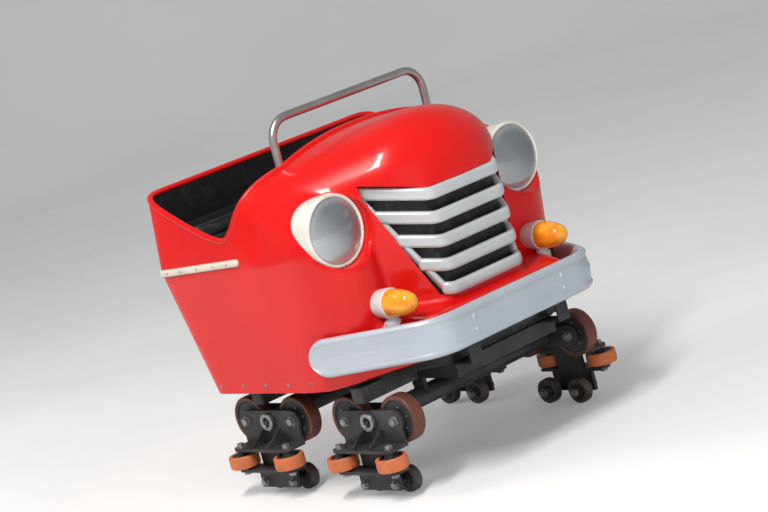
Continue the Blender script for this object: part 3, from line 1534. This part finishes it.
def padBlock(length, width, thick, rounding, shrink):
    bm = bmesh.new()
    addBox(bm, (length / 2, width / 2, thick / 2),
           (length - 2 * shrink, width - 2 * shrink, thick - 2 * shrink))
    bmesh.ops.bevel(
        bm, geom=bm.edges[:], offset=rounding - shrink, segments=4, profile=0.5,
        affect="EDGES", material=-1)
    bmesh.ops.recalc_face_normals(bm, faces=bm.faces)
    return bm


# Piping is sewn into the seam round the top panel: rays find where it lies on the pad
def addPiping(mesh, length, width, level):
    corner = seat["rounding"] * 1.6
    surface = surfaceOf(mesh)
    low, highX, highY = corner, length - corner, width - corner
    spans = (((highX, low), (highX, highY), 0), ((highX, highY), (low, highY), 90),
             ((low, highY), (low, low), 180), ((low, low), (highX, low), 270))
    points = []
    for start, end, heading in spans:
        count = max(3, int(math.dist(start, end) / seat["rayStep"]))
        run = [end[axis] - start[axis] for axis in (0, 1)]
        rays = [(start[0] + run[0] * i / count, start[1] + run[1] * i / count, heading)
                for i in range(count)]
        rays += [(*end, heading + 90 * i / 8) for i in range(8)]
        for x, y, angle in rays:
            away = Vector((math.cos(math.radians(angle)), math.sin(math.radians(angle)), 0))
            hit = surface.ray_cast(Vector((x, y, level)) + away * seat["rayFrom"], -away)[0]
            if hit is not None:
                points.append(hit - away * seat["pipingSunk"])
    tube = tubeAlong(evenLoop(points, seat["pipingStep"], 2), seat["piping"], 3)
    bm = bmesh.new()
    bm.from_mesh(mesh)
    bm.from_mesh(tube)
    bm.to_mesh(mesh)
    bm.free()
    bpy.data.meshes.remove(tube)


def makeSeatPad(name, length, width, thick, channelShares, turn):
    v = seat
    channels = [length * share for share in channelShares]
    helper = temporary(name, padBlock(length, width, thick, v["rounding"], v["shrink"]))
    inflate(helper, v["voxel"], v["pressure"], v["cap"])
    mesh = refined(helper)
    for vert in mesh.vertices:
        co = vert.co
        facing = limited((co.z - thick * 0.5) / (thick * 0.3))
        # Channels are sewn across the top panel
        for channel in channels:
            gap = (co.x - channel) / v["channelWidth"]
            co.z -= v["channel"] * math.exp(-gap * gap) * facing
        co.z = max(co.z, 0.0)
    addPiping(mesh, length, width, thick - v["rounding"] * 0.45)
    result = []
    for side in sides:
        copy = mesh.copy()
        copy.transform(turn @ Matrix.Translation((0, v["gap"] / 2, 0)))
        if side < 0:
            copy.transform(Matrix.Diagonal((1, -1, 1, 1)))
            copy.flip_normals()
        result.append(copy)
    bpy.data.meshes.remove(mesh)
    return result


def makeSeats():
    v = seat
    cushionPlace = Matrix.Translation(place(v["benchX"] - v["length"] + v["over"], 0, v["benchZ"] + hair))
    cushionMeshes = makeSeatPad(
        "cushion", v["length"], v["width"], v["thick"], v["cushionChannels"], cushionPlace)
    lift = v["thick"] + v["backGap"]
    lean = Matrix.Rotation(math.radians(-v["lean"]), 4, "Y")
    # A backrest is made lying down, its front upwards, and is then stood on its lower edge
    stand = Matrix(((0, 0, 1, 0), (0, 1, 0, 0), (1, 0, 0, 0), (0, 0, 0, 1)))
    backPlace = (Matrix.Translation(place(v["backX"] + v["panel"], 0, v["benchZ"]))
                 @ lean @ Matrix.Translation((hair, 0, lift)) @ stand)
    backMeshes = makeSeatPad(
        "backrest", v["backHeight"] - lift, v["width"], v["backThick"], v["backChannels"], backPlace)
    for mesh in backMeshes:
        mesh.flip_normals()
    for label, meshes, node in (
            ("cushion", cushionMeshes, "cushions"), ("backrest", backMeshes, "backrests")):
        for mesh, sideName in zip(meshes, ("Left", "Right")):
            piece = dressPiece(label + sideName, mesh, "car", ("vinyl",), (node,), 80)


makeSeats()
print("seats made")

lapPad = {
    "pivotX": -0.348, "pivotZ": 1.000, "back": 0.225, "drop": 0.062, "radius": 0.042, "length": 0.588,
    "slack": 0.93, "end": 0.03, "endShare": 0.35, "voxel": 0.006, "pressure": 3.0, "cap": 0.003,
}


def makeLapPad():
    v = lapPad
    bm = bmesh.new()
    middle = place(v["pivotX"] - v["back"], 0, v["pivotZ"] - v["drop"])
    half = left * v["length"] / 2
    width = v["radius"] * 2 * v["slack"]
    roundedSweep(bm, [middle - half, middle, middle + half], v["end"], 6, width, width, 2.0, 32,
                 v["endShare"])
    bmesh.ops.recalc_face_normals(bm, faces=bm.faces)
    helper = temporary("lapPad", bm)
    inflate(helper, v["voxel"], v["pressure"], v["cap"])
    piece = dressPiece("lapBarPad", refined(helper), "lap_bar", ("vinyl",), ("lap_pad",), 80)


makeLapPad()
print("lap bar pad made")


# Steel and mouldings that keep the frame's own shape get finishes and eased edges

def dressNode(name, key, easing):
    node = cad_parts[name]
    if not node.material_slots:
        node.data.materials.append(finish[key])
    for slotOf in node.material_slots:
        slotOf.material = finish[key]
    for polygon in node.data.polygons:
        polygon.use_smooth = True
    weld = node.modifiers.new("weld", "WELD")
    weld.merge_threshold = 0.00002
    ease = node.modifiers.new("ease", "BEVEL")
    ease.width = easing
    ease.segments = 2
    ease.limit_method = "ANGLE"
    ease.angle_limit = math.radians(35)
    ease.use_clamp_overlap = True
    even = node.modifiers.new("even", "WEIGHTED_NORMAL")
    even.keep_sharp = True
    even.weight = 80


for nodeName, nodeFinish, nodeEasing in (
        ("dash", "moulding", 0.002), ("floor_pan", "moulding", 0.002), ("seat_base", "moulding", 0.004),
        ("grille_back", "moulding", 0.001), ("chassis_frame", "frame", 0.004), ("hitch", "frame", 0.003),
        ("axles", "frame", 0.0015), ("lap_bar", "tube", 0.001),
        *(("carrier_" + frameCorner, "frame", 0.0015) for frameCorner in corners)):
    dressNode(nodeName, nodeFinish, nodeEasing)
print("frame parts finished")


# Floor, backdrop, lights and camera

stageSet = {
    "colour": (0.72, 0.72, 0.71), "pale": (0.78, 0.78, 0.78), "radius": 14.0, "curve": 3.0,
    "height": 12.0, "roughness": 0.8, "glow": 0.17,
}
studio = {
    "azimuth": 49, "elevation": 10, "roll": -15, "distance": 10.5, "lens": 128,
    "target": (0.0, 0.0, 0.77), "sky": 0.36, "mirrorSky": 0.2, "skyColour": (0.93, 0.96, 1.0),
    "sensor": 36,
}
# Name, place, target, size, power, colour and whether mirrors see it
areaLights = (
    ("sunSoft", (1.8, -3.4, 5.6), (0, 0, 0.8), (0.7, 3.0), 330, (1.0, 0.97, 0.93), True),
    ("frontFill", (5.5, -1.5, 1.6), (0, 0, 0.7), (3.5, 2.2), 90, (0.93, 0.96, 1.0), False),
    ("rearRim", (-4.5, -3.5, 3.2), (0, 0, 0.9), (2.5, 2.5), 140, (1, 1, 1), False),
)


def makeStage():
    v = stageSet
    material, tree, shader, where = startMaterial("studioFloor")
    mottle = noiseField(tree, where, 0.8, 3.0, 0.5)
    colour = blendColours(tree, spread(tree, mottle, 0.3, 0.7), v["colour"], v["pale"])
    tree.links.new(colour, shader.inputs["Base Color"])
    shader.inputs["Roughness"].default_value = v["roughness"]
    # The camera sees the backdrop paler than the light on it would make it
    rays = tree.nodes.new("ShaderNodeLightPath")
    shader.inputs["Emission Color"].default_value = (1.0, 1.0, 1.0, 1.0)
    tree.links.new(combine(tree, "MULTIPLY", rays.outputs["Is Camera Ray"], v["glow"]),
                   shader.inputs["Emission Strength"])
    bm = bmesh.new()
    profile = [(0.001, 0.0), (v["radius"] - v["curve"], 0.0)]
    profile += arcPoints((v["radius"] - v["curve"], v["curve"]), v["curve"], -90, 0, 16)
    profile += [(v["radius"], v["height"])]
    revolve(bm, profile, Vector((0, 0, -0.0005)), up, 96)
    tidy(bm)
    floor = temporary("studioFloor", bm)
    floor.data.materials.append(material)
    floor.data.shade_smooth()


def addLight(name, location, target, size, power, colour, mirrors):
    lamp = bpy.data.lights.new(name, "AREA")
    lamp.shape = "RECTANGLE"
    lamp.size, lamp.size_y = size
    lamp.energy = power
    lamp.color = colour
    holder = bpy.data.objects.new(name, lamp)
    holder.location = location
    holder.rotation_euler = (Vector(target) - Vector(location)).to_track_quat("-Z", "Y").to_euler()
    holder.visible_glossy = mirrors
    bpy.context.scene.collection.objects.link(holder)


def makeStudio():
    v = studio
    scene = bpy.context.scene
    world = bpy.data.worlds.new("studioSky")
    world.use_nodes = True
    background = next(node for node in world.node_tree.nodes if node.type == "BACKGROUND")
    background.inputs["Color"].default_value = (*v["skyColour"], 1.0)
    # Mirror rays see a darker sky than the one that lights the car, as under trees
    rays = world.node_tree.nodes.new("ShaderNodeLightPath")
    strength = spread(world.node_tree, rays.outputs["Is Glossy Ray"], 0.0, 1.0, v["sky"], v["mirrorSky"])
    world.node_tree.links.new(strength, background.inputs["Strength"])
    scene.world = world
    for row in areaLights:
        addLight(*row)
    target = Vector(v["target"])
    azimuth, elevation = math.radians(v["azimuth"]), math.radians(v["elevation"])
    away = Vector((math.sin(azimuth) * math.cos(elevation), -math.cos(azimuth) * math.cos(elevation),
                   math.sin(elevation)))
    camera = bpy.data.objects.new("camera", bpy.data.cameras.new("camera"))
    camera.location = target + away * v["distance"]
    facing = (-away).to_track_quat("-Z", "Y").to_matrix()
    facing = facing @ Matrix.Rotation(math.radians(v["roll"]), 3, "Z")
    camera.rotation_euler = facing.to_euler()
    camera.data.lens = v["lens"]
    camera.data.sensor_width = v["sensor"]
    scene.collection.objects.link(camera)
    scene.camera = camera
    scene.view_settings.view_transform = "Standard"


makeStage()
makeStudio()
print("stage set")
